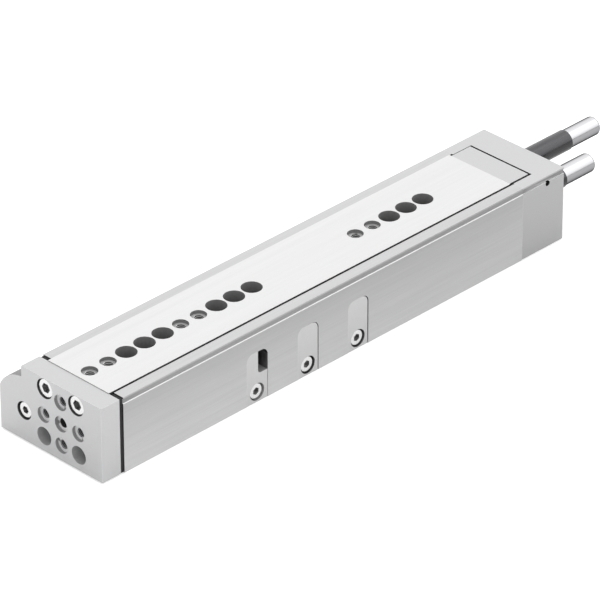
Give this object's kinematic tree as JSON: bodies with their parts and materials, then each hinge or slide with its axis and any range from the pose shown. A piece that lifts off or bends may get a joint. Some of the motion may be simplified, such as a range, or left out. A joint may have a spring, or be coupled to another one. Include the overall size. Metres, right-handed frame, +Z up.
{
  "type": "pneumatic slide table",
  "caption": "Pneumatic slide table: ball-guided slide let into an aluminium housing, driven by a cylinder at its side, with an adjustable shock absorber for each end of the stroke.",
  "frame": {"origin": "on the underside of the housing, below the slide's centre line, halfway along the housing", "axes": "+Y along the stroke towards the shock absorbers, so the slide advances along -Y; +Z up out of the slide's top; +X towards the plain side with the stop"},
  "size_m": [0.059, 0.3236, 0.0354],
  "materials": {
    "brushed_housing": "fine brushing along the stroke",
    "matt_aluminium": "fine matt, bead blasted and anodised",
    "brushed_slide": "ground bright along the stroke",
    "insert_steel": "fine matt",
    "screw_steel": "bright zinc",
    "ground_steel": "ground and polished",
    "turned_aluminium": "fine turned",
    "chromed_rod": "polished",
    "chromed_body": "polished",
    "dark_sleeve": "dark oxide, threaded",
    "black_wiper": "black elastomer plate",
    "black_rubber": "matt",
    "bronze": "sintered bronze",
    "cage_brass": "stamped brass strip",
    "white_plastic": "natural acetal",
    "magnet": "bonded ferrite"
  },
  "bodies": {
    "housing": {"housing": "brushed_housing", "front_wiper": "black_wiper", "wiper_screws": "screw_steel", "end_cap": "matt_aluminium", "end_cap_screws": "screw_steel", "rail_left": "ground_steel", "rail_right": "ground_steel", "bearing_cap": "turned_aluminium", "rod_bush": "bronze", "rod_seal": "black_rubber", "bearing_cap_oring": "black_rubber", "retaining_ring": "ground_steel", "cylinder_plug": "turned_aluminium", "plug_oring": "black_rubber", "stop_insert": "insert_steel", "middle_cover": "insert_steel", "rear_cover": "insert_steel", "insert_screws": "screw_steel"},
    "slide": {"slide_table": "brushed_slide", "slide_end_plate": "matt_aluminium", "end_plate_screws": "screw_steel", "yoke_plate": "matt_aluminium", "yoke_screws": "screw_steel", "rod_screw": "screw_steel", "piston_rod": "chromed_rod", "piston": "turned_aluminium", "piston_seals": "black_rubber", "piston_magnet": "magnet", "piston_guide_ring": "white_plastic", "piston_nut": "screw_steel"},
    "left_cage": {"cage_left": "cage_brass", "balls_left": "ground_steel"},
    "right_cage": {"cage_right": "cage_brass", "balls_right": "ground_steel"},
    "retract_absorber_body": {"retract_sleeve": "dark_sleeve", "retract_absorber": "chromed_body"},
    "retract_rod_body": {"retract_rod": "chromed_rod", "retract_buffer": "white_plastic"},
    "advance_absorber_body": {"advance_sleeve": "dark_sleeve", "advance_absorber": "chromed_body"},
    "advance_rod_body": {"advance_rod": "chromed_rod", "advance_buffer": "white_plastic"}
  },
  "joints": [
    {"name": "slide_travel", "type": "slide", "parent": "housing", "child": "slide", "axis": [0, -1, 0], "range_m": [0, 0.15]},
    {"name": "left_cage_travel", "type": "slide", "parent": "housing", "child": "left_cage", "axis": [0, -1, 0], "range_m": [0, 0.075]},
    {"name": "right_cage_travel", "type": "slide", "parent": "housing", "child": "right_cage", "axis": [0, -1, 0], "range_m": [0, 0.075]},
    {"name": "retract_adjust", "type": "slide", "parent": "housing", "child": "retract_absorber_body", "axis": [0, 1, 0], "range_m": [0, 0.006]},
    {"name": "retract_cushion", "type": "slide", "parent": "retract_absorber_body", "child": "retract_rod_body", "axis": [0, -1, 0], "range_m": [0, 0.01]},
    {"name": "advance_adjust", "type": "slide", "parent": "slide", "child": "advance_absorber_body", "axis": [0, 1, 0], "range_m": [0, 0.008]},
    {"name": "advance_cushion", "type": "slide", "parent": "advance_absorber_body", "child": "advance_rod_body", "axis": [0, 1, 0], "range_m": [0, 0.01]}
  ],
  "couplings": [
    {"joint": "left_cage_travel", "follows": "slide_travel", "ratio": 0.5},
    {"joint": "right_cage_travel", "follows": "slide_travel", "ratio": 0.5},
    {"joint": "retract_cushion", "follows": "slide_travel", "ratio": 0.0666},
    {"joint": "advance_cushion", "follows": "slide_travel", "ratio": 0.0666}
  ]
}
